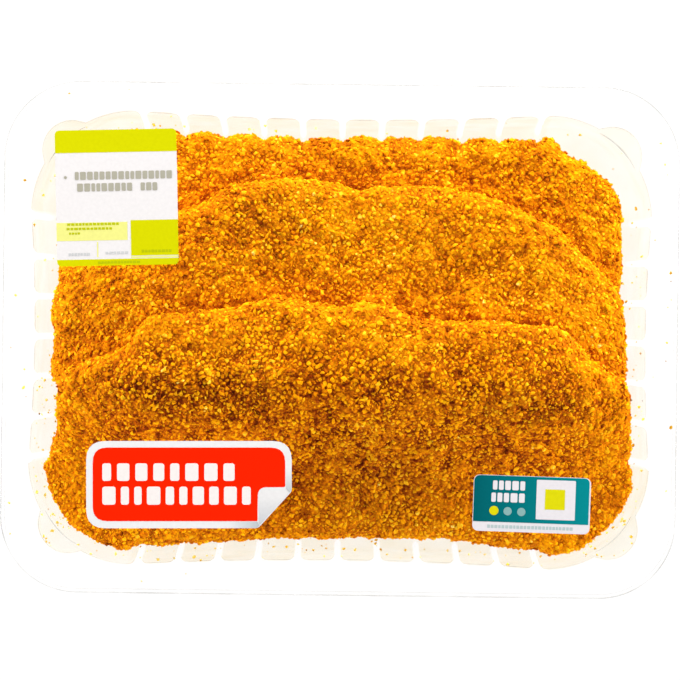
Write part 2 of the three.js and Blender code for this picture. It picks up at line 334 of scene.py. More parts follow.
def paper_material(name, colour, other=None, axis="X", low=0.0, high=1.0, roughness=0.6):
    """Coated label paper: an even print with a faint grain, or fading to another colour along an axis."""
    material, tree = new_material(name)
    coords = object_coords(tree)
    grain = noise_of(tree, 900, 3.0, coords)
    base = colour
    if other:
        along = add_node(tree, "ShaderNodeSeparateXYZ", Vector=coords).outputs[axis]
        base = mix_colour(tree, spread(tree, along, low, high), colour, other)
    grain_or_painted_light = mix_colour(tree, spread(tree, grain, 0.35, 0.7, 0.0, 0.3), base, (0.85, 0.85, 0.85), "MULTIPLY")
    shader = add_node(tree, "ShaderNodeBsdfPrincipled", Base_Color=grain_or_painted_light, Roughness=roughness)
    shader.inputs["Specular IOR Level"].default_value = 0.03
    wire(tree, bump_of(tree, grain, 0.02 * MM, 0.3), shader.inputs["Normal"])
    finish_surface(tree, shader.outputs[0])
    return material


def floor_material():
    """A white table that glows faintly, as a light table does."""
    material, tree = new_material("studio_floor")
    soft = noise_of(tree, 6, 2.0)
    colour = mix_colour(tree, spread(tree, soft, 0.3, 0.7, 0.0, 1.0), (0.11, 0.11, 0.11), (0.1, 0.1, 0.1))
    shader = add_node(tree, "ShaderNodeBsdfPrincipled", Base_Color=colour, Roughness=0.9)
    shader.inputs["Emission Color"].default_value = (1, 1, 1, 1)
    shader.inputs["Emission Strength"].default_value = 0.93
    finish_surface(tree, shader.outputs[0])
    return material


# ---- Mesh helpers ----
def smooth_ramp(value, start, end):
    share = min(1.0, max(0.0, (value - start) / (end - start)))
    return share * share * (3 - 2 * share)


def link(obj):
    bpy.context.scene.collection.objects.link(obj)
    return obj


def mesh_object(name, verts, faces, smooth=False):
    mesh = bpy.data.meshes.new(name)
    mesh.from_pydata([tuple(v) for v in verts], [], faces)
    mesh.update()
    if smooth:
        mesh.shade_smooth()
    return link(bpy.data.objects.new(name, mesh))


def merged_copy(node, name):
    """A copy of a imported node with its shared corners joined."""
    piece = link(bpy.data.objects.new(name, frame["nodes"][node].data.copy()))
    piece.data.materials.clear()
    shape = bmesh.new()
    shape.from_mesh(piece.data)
    bmesh.ops.remove_doubles(shape, verts=shape.verts, dist=0.002 * MM)
    bmesh.ops.recalc_face_normals(shape, faces=shape.faces)
    shape.to_mesh(piece.data)
    shape.free()
    return piece


def face_outwards(mesh, cut=False):
    """Turns every face of a mesh outwards. With cut, faces of more than four corners become triangles."""
    shape = bmesh.new()
    shape.from_mesh(mesh)
    bmesh.ops.recalc_face_normals(shape, faces=shape.faces)
    if cut:
        bmesh.ops.triangulate(shape, faces=[f for f in shape.faces if len(f.verts) > 4])
    shape.to_mesh(mesh)
    shape.free()


def note_values(mesh, name, values):
    """Writes one number for each point of a mesh as an attribute."""
    layer = mesh.attributes.new(name, "FLOAT", "POINT")
    layer.data.foreach_set("value", values)


def apply_modifiers(obj):
    """Turns the evaluated object into its own plain mesh."""
    depsgraph = bpy.context.evaluated_depsgraph_get()
    mesh = bpy.data.meshes.new_from_object(obj.evaluated_get(depsgraph), depsgraph=depsgraph)
    old = obj.data
    obj.modifiers.clear()
    obj.data = mesh
    bpy.data.meshes.remove(old)
    return obj


def dress(obj, material, slot, *nodes):
    obj.data.materials.clear()
    obj.data.materials.append(material)
    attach(obj, "root")
    if nodes:
        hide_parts(*nodes)
    return obj


# ---- Geometry Nodes helpers ----
# How high on a grain the painted shade at its foot fades out.
CREST_HEIGHT = 0.36


def new_tree(name, sockets):
    """A Geometry Nodes tree with named inputs, its Geometry input and output first."""
    tree = bpy.data.node_groups.new(name, "GeometryNodeTree")
    tree.interface.new_socket("Geometry", in_out="OUTPUT", socket_type="NodeSocketGeometry")
    tree.interface.new_socket("Geometry", in_out="INPUT", socket_type="NodeSocketGeometry")
    for label, kind in sockets:
        tree.interface.new_socket(label, in_out="INPUT", socket_type="NodeSocket" + kind)
    start = tree.nodes.new("NodeGroupInput")
    end = tree.nodes.new("NodeGroupOutput")
    return tree, start, end


def run_tree(obj, tree, values):
    """Runs a tree on an object with its inputs set, and gives the result as a plain mesh."""
    modifier = obj.modifiers.new(tree.name, "NODES")
    modifier.node_group = tree
    identifiers = {
        item.name: item.identifier
        for item in tree.interface.items_tree
        if item.item_type == "SOCKET" and item.in_out == "INPUT"
    }
    for label, value in values.items():
        modifier[identifiers[label]] = value
    obj.update_tag()
    bpy.context.view_layer.update()
    depsgraph = bpy.context.evaluated_depsgraph_get()
    mesh = bpy.data.meshes.new_from_object(obj.evaluated_get(depsgraph), depsgraph=depsgraph)
    obj.modifiers.remove(modifier)
    return mesh


def random_value(tree, kind, low, high, seed):
    """A random number for each element, between two values or sockets."""
    node = add_node(tree, "FunctionNodeRandomValue", {"data_type": kind})
    first = {"FLOAT_VECTOR": 0, "FLOAT": 2, "INT": 4}[kind]
    for value, socket in ((low, node.inputs[first]), (high, node.inputs[first + 1])):
        if isinstance(value, bpy.types.NodeSocket):
            wire(tree, value, socket)
        else:
            socket.default_value = value
    if isinstance(seed, bpy.types.NodeSocket):
        wire(tree, seed, node.inputs[8])
    else:
        node.inputs[8].default_value = seed
    return node.outputs[{"FLOAT_VECTOR": 0, "FLOAT": 1, "INT": 2}[kind]]


def relief_tree():
    """Pushes a core's surface in and out in lumps of three sizes, and notes how high each point stands."""
    tree, start, end = new_tree(
        "breaded_relief",
        [
            ("Lump size", "Float"),
            ("Lump height", "Float"),
            ("Clump size", "Float"),
            ("Clump height", "Float"),
            ("Grain size", "Float"),
            ("Grain height", "Float"),
            ("Offset", "Vector"),
            ("Lowest", "Float"),
        ],
    )
    place = tree.nodes.new("GeometryNodeInputPosition").outputs[0]
    moved = add_node(tree, "ShaderNodeVectorMath", {"operation": "ADD"})
    wire(tree, place, moved.inputs[0])
    wire(tree, start.outputs["Offset"], moved.inputs[1])
    total = None
    for kind in ("Lump", "Clump", "Grain"):
        scale = maths(tree, "DIVIDE", 1.0, start.outputs[kind + " size"])
        texture = add_node(tree, "ShaderNodeTexNoise", Detail=1.0)
        wire(tree, moved.outputs[0], texture.inputs["Vector"])
        wire(tree, scale, texture.inputs["Scale"])
        centred = spread(tree, texture.outputs["Fac"], 0.25, 0.75, -1.0, 1.0)
        height = maths(tree, "MULTIPLY", centred, start.outputs[kind + " height"])
        total = height if total is None else maths(tree, "ADD", total, height)
    normal = tree.nodes.new("GeometryNodeInputNormal").outputs[0]
    push = add_node(tree, "ShaderNodeVectorMath", {"operation": "SCALE"})
    wire(tree, normal, push.inputs[0])
    wire(tree, total, push.inputs["Scale"])
    store = add_node(
        tree, "GeometryNodeStoreNamedAttribute", {"data_type": "FLOAT", "domain": "POINT"}, Name="relief"
    )
    wire(tree, start.outputs["Geometry"], store.inputs["Geometry"])
    wire(tree, spread(tree, total, -0.7 * MM, 0.7 * MM), store.inputs["Value"])
    lift = tree.nodes.new("GeometryNodeSetPosition")
    wire(tree, store.outputs[0], lift.inputs["Geometry"])
    wire(tree, push.outputs[0], lift.inputs["Offset"])
    wire(tree, above(tree, lift.outputs[0], start.outputs["Lowest"]), end.inputs[0])
    return tree


def above(tree, geometry, lowest):
    """Presses what lies below a height nearly flat, as food is on its tray."""
    place = tree.nodes.new("GeometryNodeInputPosition").outputs[0]
    parts = add_node(tree, "ShaderNodeSeparateXYZ", Vector=place)
    under = maths(tree, "MULTIPLY", maths(tree, "SUBTRACT", parts.outputs["Z"], lowest), 0.12)
    pressed = maths(tree, "MAXIMUM", parts.outputs["Z"], maths(tree, "ADD", lowest, under))
    joined = tree.nodes.new("ShaderNodeCombineXYZ")
    wire(tree, parts.outputs["X"], joined.inputs["X"])
    wire(tree, parts.outputs["Y"], joined.inputs["Y"])
    wire(tree, pressed, joined.inputs["Z"])
    level = tree.nodes.new("GeometryNodeSetPosition")
    wire(tree, geometry, level.inputs["Geometry"])
    wire(tree, joined.outputs[0], level.inputs["Position"])
    return level.outputs[0]


def crumb_tree():
    """Scatters crumbs where a surface's attribute cover says, each turned, sized and toned at random."""
    tree, start, end = new_tree(
        "crumb_coat",
        [
            ("Crumbs", "Collection"),
            ("Spacing", "Float"),
            ("Most", "Float"),
            ("Smallest", "Float"),
            ("Largest", "Float"),
            ("Sink", "Float"),
            ("Lowest", "Float"),
            ("Seed", "Int"),
            ("Darkest", "Float"),
            ("Palest", "Float"),
            ("Material", "Material"),
        ],
    )
    settings = {"data_type": "FLOAT", "domain": "INSTANCE"}
    store = add_node(tree, "GeometryNodeStoreNamedAttribute", settings, Name="crumb_tone")
    wire(tree, place_crumbs(tree, start), store.inputs["Geometry"])
    tone = random_value(tree, "FLOAT", start.outputs["Darkest"], start.outputs["Palest"], 41)
    wire(tree, tone, store.inputs["Value"])
    real = tree.nodes.new("GeometryNodeRealizeInstances")
    wire(tree, store.outputs[0], real.inputs[0])
    flat = above(tree, real.outputs[0], start.outputs["Lowest"])
    paint = tree.nodes.new("GeometryNodeSetMaterial")
    wire(tree, flat, paint.inputs["Geometry"])
    wire(tree, start.outputs["Material"], paint.inputs["Material"])
    wire(tree, paint.outputs[0], end.inputs[0])
    return tree


def place_crumbs(tree, start):
    """The crumbs as instances: points apart from each other, sunk a little, each with one crumb of many."""
    cover = add_node(tree, "GeometryNodeInputNamedAttribute", {"data_type": "FLOAT"}, Name="cover")
    scatter = add_node(tree, "GeometryNodeDistributePointsOnFaces", {"distribute_method": "POISSON"})
    wire(tree, start.outputs["Geometry"], scatter.inputs["Mesh"])
    wire(tree, start.outputs["Spacing"], scatter.inputs["Distance Min"])
    wire(tree, start.outputs["Most"], scatter.inputs["Density Max"])
    wire(tree, cover.outputs[0], scatter.inputs["Density Factor"])
    wire(tree, start.outputs["Seed"], scatter.inputs["Seed"])
    crumbs = add_node(tree, "GeometryNodeCollectionInfo")
    wire(tree, start.outputs["Crumbs"], crumbs.inputs["Collection"])
    crumbs.inputs["Separate Children"].default_value = True
    crumbs.inputs["Reset Children"].default_value = True
    sink = add_node(tree, "ShaderNodeVectorMath", {"operation": "SCALE"})
    wire(tree, scatter.outputs["Normal"], sink.inputs[0])
    wire(tree, maths(tree, "MULTIPLY", start.outputs["Sink"], -1.0), sink.inputs["Scale"])
    sunk = tree.nodes.new("GeometryNodeSetPosition")
    wire(tree, scatter.outputs["Points"], sunk.inputs["Geometry"])
    wire(tree, sink.outputs[0], sunk.inputs["Offset"])
    spin = add_node(tree, "FunctionNodeRotateRotation", {"rotation_space": "LOCAL"})
    wire(tree, scatter.outputs["Rotation"], spin.inputs[0])
    turn = random_value(tree, "FLOAT_VECTOR", (-0.4, -0.4, -3.14), (0.4, 0.4, 3.14), 11)
    wire(tree, turn, spin.inputs[1])
    roll = random_value(tree, "FLOAT", 0.0, 1.0, 23)
    skewed = maths(tree, "POWER", roll, 1.7)
    size = maths(tree, "SUBTRACT", start.outputs["Largest"], start.outputs["Smallest"])
    size = maths(tree, "ADD", maths(tree, "MULTIPLY", size, skewed), start.outputs["Smallest"])
    place = tree.nodes.new("GeometryNodeInstanceOnPoints")
    place.inputs["Pick Instance"].default_value = True
    wire(tree, sunk.outputs[0], place.inputs["Points"])
    wire(tree, crumbs.outputs[0], place.inputs["Instance"])
    wire(tree, random_value(tree, "INT", 0, 1000, 37), place.inputs["Instance Index"])
    wire(tree, spin.outputs[0], place.inputs["Rotation"])
    wire(tree, size, place.inputs["Scale"])
    return place.outputs[0]


def crumb_shapes(name, count, corners, flatness, seed):
    """Crumbs a unit across, hulls of random points on a squashed ball, with each point's height noted."""
    dice = random.Random(seed)
    group = bpy.data.collections.new(name)
    bpy.context.scene.collection.children.link(group)
    for number in range(count):
        shape = bmesh.new()
        long = dice.uniform(1.0, 1.25)
        for _ in range(corners):
            way = Vector((dice.gauss(0, 1), dice.gauss(0, 1), dice.gauss(0, 1))).normalized()
            reach = dice.uniform(0.38, 0.54)
            shape.verts.new((way.x * reach * long, way.y * reach / long, way.z * reach * flatness))
        hull = bmesh.ops.convex_hull(shape, input=shape.verts)
        inside = {part for part in hull["geom_interior"] if isinstance(part, bmesh.types.BMVert)}
        bmesh.ops.delete(shape, geom=list(inside), context="VERTS")
        bmesh.ops.recalc_face_normals(shape, faces=shape.faces)
        mesh = bpy.data.meshes.new(f"{name}_{number}")
        shape.to_mesh(mesh)
        shape.free()
        # The height is kept for painted shade, darker at each grain's foot.
        note_values(mesh, "crest", [min(1.0, max(0.0, v.co.z / CREST_HEIGHT)) for v in mesh.vertices])
        group.objects.link(bpy.data.objects.new(f"{name}_{number}", mesh))
    return group


def drop_object(obj):
    mesh = obj.data
    bpy.data.objects.remove(obj)
    bpy.data.meshes.remove(mesh)


def drop_collection(group):
    for obj in list(group.objects):
        drop_object(obj)
    bpy.data.collections.remove(group)


# ---- Tray ----
RIB_STEPS = 6
PANEL_STEPS = 6
CORNER_STEPS = 44
RIB_HALF_WIDTH = 2.3 * MM


def stations():
    """A ring's points, as (side, place along it, None) or (side, None, degrees round its corner)."""
    places = []
    for side in range(4):
        wall = (LONG_WALL, SHORT_WALL)[side % 2]
        for rib in range(wall["panels"] + 1):
            middle = (rib - wall["panels"] / 2) * wall["pitch"]
            last = min(RIB_HALF_WIDTH, wall["run"] - abs(middle))
            for step in range(-RIB_STEPS, RIB_STEPS + 1):
                outer = step / RIB_STEPS
                span = last if outer * middle > 0 else RIB_HALF_WIDTH
                places.append((side, middle + span * outer * abs(outer) ** 0.4, None))
            if rib < wall["panels"]:
                flat = wall["pitch"] - 2 * RIB_HALF_WIDTH
                for step in range(1, PANEL_STEPS):
                    places.append((side, middle + RIB_HALF_WIDTH + flat * step / PANEL_STEPS, None))
        for step in range(1, CORNER_STEPS):
            places.append((side, None, 90 * step / CORNER_STEPS))
    return places


STATIONS = stations()


def rib_at(wall, along, foot, depth):
    """How far a rib stands in from its wall at a place along it. foot is half a rib's width at the wall."""
    nearest = round(along / wall["pitch"])
    if abs(nearest) > wall["panels"] // 2:
        return 0.0
    off = abs(along - nearest * wall["pitch"])
    return depth * (1 - min(1.0, max(0.0, (off - 0.2 * MM) / (foot - 0.2 * MM))) ** 1.25)


def pocket_reach(degrees, grow):
    """From a corner arc's centre to the far side of its pocket, or 0 beside the pocket."""
    angle = math.radians(degrees - 45)
    aside = POCKET_OFFSET * math.sin(angle)
    radius = POCKET_RADIUS + grow
    return POCKET_OFFSET * math.cos(angle) + math.sqrt(radius**2 - aside**2) if abs(aside) < radius else 0.0


def wall_ring(z, inset, foot, depth, pocket, skin=0.0):
    """A ring of the wall's inner face at a height, or with a skin of its outer face."""
    grow = skin - inset
    points = []
    for side, along, degrees in STATIONS:
        wall = (LONG_WALL, SHORT_WALL)[side % 2]
        facing = math.radians(side * 90 - 90)
        outward = Vector((math.cos(facing), math.sin(facing)))
        forward = Vector((-outward.y, outward.x))
        if degrees is None:
            bow = wall["bow"] * max(0.0, 1 - (along / wall["run"]) ** 2)
            out = wall["reach"] + grow - bow - rib_at(wall, along, foot - skin / 2, depth)
            place = forward * along + outward * out
        else:
            turned = facing + math.radians(degrees)
            reach = OPENING_CORNER + grow
            if pocket > 0:
                lobe = pocket_reach(degrees, grow)
                reach += max(0.0, lobe - reach) * pocket
            centre = forward * wall["run"] + outward * (wall["reach"] - OPENING_CORNER)
            place = centre + Vector((math.cos(turned), math.sin(turned))) * reach
        points.append(Vector((place.x, place.y, z - skin)))
    return points


def rim_ring(inset, z):
    """A ring round the rim, its points beside the wall's."""
    points = []
    for side, along, degrees in STATIONS:
        long_side = side % 2 == 0
        across = HALF_WIDTH if long_side else HALF_LENGTH
        run = (HALF_LENGTH if long_side else HALF_WIDTH) - RIM_CORNER
        facing = math.radians(side * 90 - 90)
        outward = Vector((math.cos(facing), math.sin(facing)))
        forward = Vector((-outward.y, outward.x))
        if degrees is None:
            place = forward * along + outward * (across - inset)
        else:
            turned = facing + math.radians(degrees)
            centre = forward * run + outward * (across - RIM_CORNER)
            place = centre + Vector((math.cos(turned), math.sin(turned))) * (RIM_CORNER - inset)
        points.append(Vector((place.x, place.y, z)))
    return points


def wall_levels():
    """The inner face from rim to floor, as (height, inset, rib foot, rib depth, share of the pocket)."""
    levels = []
    for fall, inset in ((0.0, -0.25), (0.05, 0.08), (0.2, 0.32), (0.5, 0.52), (1.0, 0.68), (1.7, 0.8)):
        levels.append((RIM_Z - fall * MM, inset * MM, 1.0))
    for fall in (2.6, 3.6, 4.6, 5.5, 5.95, 6.15):
        levels.append((RIM_Z - fall * MM, (0.85 + 0.05 * fall) * MM, 1.0))
    for fall, share in ((6.3, 0.9), (6.45, 0.5), (6.55, 0.14), (6.6, 0.07)):
        levels.append((RIM_Z - fall * MM, 1.2 * MM, share))
    for step in range(11):
        share = step / 10
        z = RIM_Z * (1 - share) + 5.2 * MM * share - 7.0 * MM * (1 - share)
        levels.append((z, (1.25 + 1.85 * share) * MM, 0.0))
    for step in range(1, 10):
        turn = math.radians(10 * step)
        z = 5.2 * MM - 4.75 * MM * math.sin(turn) ** 1.05
        levels.append((z, (3.1 + 4.4 * (1 - math.cos(turn))) * MM, 0.0))
    rows = []
    for z, inset, pocket in levels:
        flare = math.exp(-(RIM_Z - z) / (1.3 * MM))
        fade = smooth_ramp(z, WALL, 3.5 * MM)
        depth = RIB_DEPTH * (0.12 + 0.88 * fade) * (1 + 0.8 * flare)
        rows.append((z, inset, (1.3 + 1.4 * flare) * MM, depth, pocket))
    return rows


WALL_ROWS = wall_levels()
EDGE_ROW = 3  # where the rounded edge of the opening turns down into the wall


def bridge(rings, centre_first, centre_last):
    """Points and faces of a closed skin through rings of equal count, with a fan at each end."""
    count = len(rings[0])
    points = [p for ring in rings for p in ring]
    faces = []
    for level in range(len(rings) - 1):
        for i in range(count):
            j = (i + 1) % count
            here, next_ring = level * count, (level + 1) * count
            faces.append((here + i, here + j, next_ring + j, next_ring + i))
    points += [centre_first, centre_last]
    last = (len(rings) - 1) * count
    for i in range(count):
        faces.append((len(points) - 2, (i + 1) % count, i))
        faces.append((len(points) - 1, last + i, last + (i + 1) % count))
    return points, faces


# How much painted shade greys each ring of the lip, from the rim's underside round its edge to its top.
LIP_CREASE_SHADES = (0.0, 0.0, 0.1, 0.1, 0.1, 0.6, 0.8, 0.1, 0.1, 0.6, 0.0)


def crease_shade_at(level, row, side, along, degrees):
    """How much painted shade greys the clear plastic along a fold: at the opening's edge, the ribs' feet and
    the pockets' shelves.
    """
    _, _, foot, depth, pocket = row
    if degrees is not None:
        shelf = 0 < pocket < 0.1 and pocket_reach(degrees, 0.0) > OPENING_CORNER
        return 0.9 if shelf else 0.7 if level == EDGE_ROW else 0.0
    raised = rib_at((LONG_WALL, SHORT_WALL)[side % 2], along, foot, depth) / depth
    if level == EDGE_ROW:
        return 0.9 if raised < 0.2 else 0.0
    return 0.45 if level > EDGE_ROW + 1 and 0.01 < raised < 0.3 else 0.0


def bounce_light_at(fall, side, along, degrees, foot, depth):
    """How much painted bounce light from the food tints the wall cream: in the flutes, most on the long
    walls, not on the ribs.
    """
    share = smooth_ramp(fall, 0.0, 0.3 * MM) * (1.0, 0.7)[side % 2]
    if degrees is None:
        raised = rib_at((LONG_WALL, SHORT_WALL)[side % 2], along, foot, depth)
        share *= 1 - min(1.0, raised / (0.5 * RIB_DEPTH))
    return share


def make_tray(material):
    inner = [wall_ring(*row) for row in WALL_ROWS]
    outer = [wall_ring(*row, skin=WALL) for row in WALL_ROWS[1:]][::-1]
    lip = [rim_ring(WALL, RIM_Z - WALL - 0.35 * MM)]
    lip += [rim_ring(WALL, RIM_Z - LIP_DROP), rim_ring(0.22 * MM, RIM_Z - LIP_DROP - 0.05 * MM)]
    lip += [rim_ring(0.0, RIM_Z - LIP_DROP + 0.1 * MM), rim_ring(0.0, RIM_Z - 0.9 * MM)]
    lip += [rim_ring(0.08 * MM, RIM_Z - 0.5 * MM), rim_ring(0.3 * MM, RIM_Z - 0.28 * MM)]
    lip += [rim_ring(0.7 * MM, RIM_Z - 0.2 * MM), rim_ring(1.35 * MM, RIM_Z - 0.2 * MM)]
    lip += [rim_ring(1.6 * MM, RIM_Z - 0.05 * MM), rim_ring(1.8 * MM, RIM_Z)]
    points, faces = bridge(outer + lip + inner, Vector((0, 0, 0)), Vector((0, 0, WALL)))
    tray = mesh_object("clear_fluted_tray", points, faces)
    tray.data.shade_smooth()
    face_outwards(tray.data)
    tray.data.set_sharp_from_angle(angle=math.radians(42))
    # Painted shade along the folds, noted for each point.
    crease_shades = [0.0] * len(outer) * len(STATIONS)
    crease_shades += [share for share in LIP_CREASE_SHADES for _ in STATIONS]
    for level, row in enumerate(WALL_ROWS):
        crease_shades += [crease_shade_at(level, row, *station) for station in STATIONS]
    crease_shades += [0.0, 0.0]
    # Painted bounce light from the food in the flutes, noted for each point.
    bounce_light = [0.0] * (len(outer) + len(lip)) * len(STATIONS)
    for z, _, foot, depth, _ in WALL_ROWS:
        bounce_light += [bounce_light_at(RIM_Z - z, *station, foot, depth) for station in STATIONS]
    note_values(tray.data, "crease_shade", crease_shades)
    note_values(tray.data, "bounce_light", bounce_light + [0.0, 0.0])
    return dress(tray, material, "clear_tray", "tray")


# ---- Schnitzels ----
CORE_VOXEL = 0.85 * MM
# How far from another schnitzel the painted shade reaches.
CREVICE_SHADE_REACH = 3.2 * MM
FULLER = 0.45 * MM
END_SAG = 0.24
PRESS_SIDES = 1.1 * MM
PRESS_FRONT = 0.5 * MM
PRESS_CORNERS = 8 * MM
PRESS_BACK = 0.2 * MM
NOTCH = 1.7 * MM
FOOD_CLEARANCE = 0.5 * MM
BACK_CLEARANCE = 1.8 * MM
FOOD_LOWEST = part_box("schnitzel_back")[0].z - 0.2 * MM


def smooth_share(values, start, end):
    share = np.clip((values - start) / (end - start), 0, 1)
    return share * share * (3 - 2 * share)


def room_at(wall, along, inset):
    """How far out the food may reach against a wall: into its flutes, and notched by its ribs."""
    bow = wall["bow"] * np.clip(1 - (along / wall["run"]) ** 2, 0, 1)
    nearest = np.clip(np.round(along / wall["pitch"]), -wall["panels"] // 2, wall["panels"] // 2)
    off = np.abs(along - nearest * wall["pitch"])
    notch = NOTCH * (1 - smooth_share(off, 0.1 * MM, 3.4 * MM))
    return wall["reach"] - inset - bow - notch


def press_out(distance, room, press):
    """Moves what lies near the end of its room further out, and nothing past it."""
    near = 1 - smooth_share(room - distance, 0.0, 12 * MM)
    return np.minimum(distance + press * near, room)


def settle(mesh):
    """Fills a schnitzel out against the walls, and lets both ends sag towards the tray's floor."""
    places = np.empty(len(mesh.vertices) * 3, np.float32)
    normals = np.empty_like(places)
    mesh.vertices.foreach_get("co", places)
    mesh.vertices.foreach_get("normal", normals)
    places = (places + normals * FULLER).reshape(-1, 3)
    share = smooth_share(np.abs(places[:, 0]), 62 * MM, 100 * MM)
    places[:, 2] *= 1 - END_SAG * share

    levels = sorted((row[0], row[1]) for row in WALL_ROWS)
    inset = np.interp(places[:, 2], [z for z, _ in levels], [inset for _, inset in levels])
    x, y = np.abs(places[:, 0]), np.abs(places[:, 1])
    back = smooth_share(places[:, 1], 10 * MM, 60 * MM)
    press_x = PRESS_SIDES + (PRESS_BACK - PRESS_SIDES) * back
    press_y = np.where(places[:, 1] < 0, PRESS_FRONT, PRESS_BACK)
    inset += FOOD_CLEARANCE + BACK_CLEARANCE * back * (1 + smooth_share(places[:, 0], 30 * MM, 60 * MM))
    x = np.where(y < SHORT_WALL["run"], press_out(x, room_at(SHORT_WALL, places[:, 1], inset), press_x), x)
    y = np.where(x < LONG_WALL["run"], press_out(y, room_at(LONG_WALL, places[:, 0], inset), press_y), y)
    past_x = np.maximum(x - LONG_WALL["run"], 1e-6)
    past_y = np.maximum(y - SHORT_WALL["run"], 1e-6)
    radius = np.hypot(past_x, past_y)
    press = (press_x * past_x**2 + press_y * past_y**2) / radius**2
    press += np.where(places[:, 1] < 0, PRESS_CORNERS * 2 * past_x * past_y / radius**2, 0)
    kept = press_out(radius, OPENING_CORNER - inset, press) / radius
    corner = (x > LONG_WALL["run"]) & (y > SHORT_WALL["run"])
    x = np.where(corner, LONG_WALL["run"] + past_x * kept, x)
    y = np.where(corner, SHORT_WALL["run"] + past_y * kept, y)
    places[:, 0] = np.copysign(x, places[:, 0])
    places[:, 1] = np.copysign(y, places[:, 1])
    mesh.vertices.foreach_set("co", places.ravel())
    mesh.update()


def make_core(node, index, tree):
    """A schnitzel's body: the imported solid, rounded off, sagging at its ends and covered in fine relief."""
    core = merged_copy(node, node + "_core")
    rounding = core.modifiers.new("round", "SUBSURF")
    rounding.levels = rounding.render_levels = 2
    remesh = core.modifiers.new("even", "REMESH")
    remesh.mode = "VOXEL"
    remesh.voxel_size = CORE_VOXEL
    apply_modifiers(core)
    settle(core.data)
    mesh = run_tree(
        core,
        tree,
        {
            "Lump size": 13 * MM,
            "Lump height": 0.6 * MM,
            "Clump size": 5 * MM,
            "Clump height": 0.5 * MM,
            "Grain size": 1.9 * MM,
            "Grain height": 0.35 * MM,
            "Offset": (0.31 * index, 0.17 * index, 0.0),
            "Lowest": FOOD_LOWEST,
        },
    )
    core.data = mesh
    mesh.shade_smooth()
    return core


def note_cover(core, others):
    """Notes where crumbs show, none between schnitzels and few underneath, and where one is near another, for
    painted shade there.
    """
    mesh = core.data
    cover = np.ones(len(mesh.vertices), np.float32)
    crevice_shade = np.zeros(len(mesh.vertices), np.float32)
    for vertex in mesh.vertices:
        start = vertex.co + vertex.normal * 1.5 * MM
        if any(tree.ray_cast(start, vertex.normal, 5 * MM)[0] for tree in others):
            cover[vertex.index] = 0.0
        elif vertex.normal.z < -0.5:
            cover[vertex.index] = 0.35
        for tree in others:
            distance = tree.find_nearest(vertex.co, CREVICE_SHADE_REACH)[3]
            if distance is not None:
                crevice_shade[vertex.index] = max(crevice_shade[vertex.index], 1 - distance / CREVICE_SHADE_REACH)
    note_values(mesh, "cover", cover)
    note_values(mesh, "crevice_shade", crevice_shade)


# Each kind's name, spacing, most for each square metre, smallest and largest size, sink and darkest tone.
CRUMB_KINDS = (
    ("coarse_crumbs", 1.32 * MM, 2.0e6, 1.35 * MM, 2.7 * MM, 0.12 * MM, -0.25),
    ("fine_crumbs", 0.92 * MM, 2.4e6, 0.85 * MM, 1.4 * MM, 0.1 * MM, 0.0),
)
PALEST_TONE = 0.95


def make_schnitzels():
    relief = relief_tree()
    coat = crumb_tree()
    # The front schnitzel's breading is darker over its middle, with painted shade in the gaps between clumps.
    beds = [bed_material("breading_bed")] * 2 + [bed_material("darker_field_breading_bed", 0.4)]
    crumbs = [crumb_material("toasted_crumbs", CRUMB_STOPS)] * 2
    crumbs += [crumb_material("darker_field_toasted_crumbs", CRUMB_STOPS, 0.42)]
    shapes = [crumb_shapes("coarse_crumb", 16, 14, 0.8, 5), crumb_shapes("fine_crumb", 10, 7, 0.85, 9)]
    cores = [make_core(node, i, relief) for i, node in enumerate(SCHNITZELS)]
    depsgraph = bpy.context.evaluated_depsgraph_get()
    skins = [BVHTree.FromObject(core, depsgraph) for core in cores]
    for index, (node, core) in enumerate(zip(SCHNITZELS, cores)):
        note_cover(core, [skin for other, skin in enumerate(skins) if other != index])
        for number, (label, spacing, most, smallest, largest, sink, darkest) in enumerate(CRUMB_KINDS):
            mesh = run_tree(
                core,
                coat,
                {
                    "Crumbs": shapes[number],
                    "Spacing": spacing,
                    "Most": most,
                    "Smallest": smallest,
                    "Largest": largest,
                    "Sink": sink,
                    "Lowest": FOOD_LOWEST,
                    "Seed": 100 + 10 * index + number,
                    "Darkest": darkest,
                    "Palest": PALEST_TONE,
                    "Material": crumbs[index],
                },
            )
            piece = link(bpy.data.objects.new(f"{node}_{label}", mesh))
            dress(piece, crumbs[index], "breading", node)
        dress(core, beds[index], "breading", node)
    for group in shapes:
        drop_collection(group)


# ---- Film ----
FILM_STEPS = (90, 68)
FILM_THICKNESS = 0.05 * MM
FILM_WAVE = 0.045 * MM
FILM_CORNER = RIM_CORNER - (HALF_LENGTH - FILM_HIGH.x)


def film_point(u, v):
    """u and v from -1 to 1 on a square, spread over the film's rounded rectangle."""
    x, y = u * FILM_HIGH.x, v * FILM_HIGH.y
    over_x = max(0.0, abs(x) - FILM_HIGH.x + FILM_CORNER)
    over_y = max(0.0, abs(y) - FILM_HIGH.y + FILM_CORNER)
    over = Vector((over_x, over_y))
    most = max(over.x, over.y)
    if min(over.x, over.y) > 0:
        over *= most / over.length
        x = math.copysign(FILM_HIGH.x - FILM_CORNER + over.x, x)
        y = math.copysign(FILM_HIGH.y - FILM_CORNER + over.y, y)
    return x, y


def film_wave(x, y):
    """How far the film stands up at a place. It is flat where it is sealed to the rim."""
    inside = min(1.0, max(0.0, (0.93 - max(abs(x) / FILM_HIGH.x, abs(y) / FILM_HIGH.y)) * 8))
    wave = noise.noise(Vector((x * 16 + y * 5, y * 34 - x * 4, 2.7)))
    wave += 0.6 * noise.noise(Vector((x * 46 - y * 30, y * 40 + x * 25, 8.1)))
    return FILM_WAVE * wave * inside


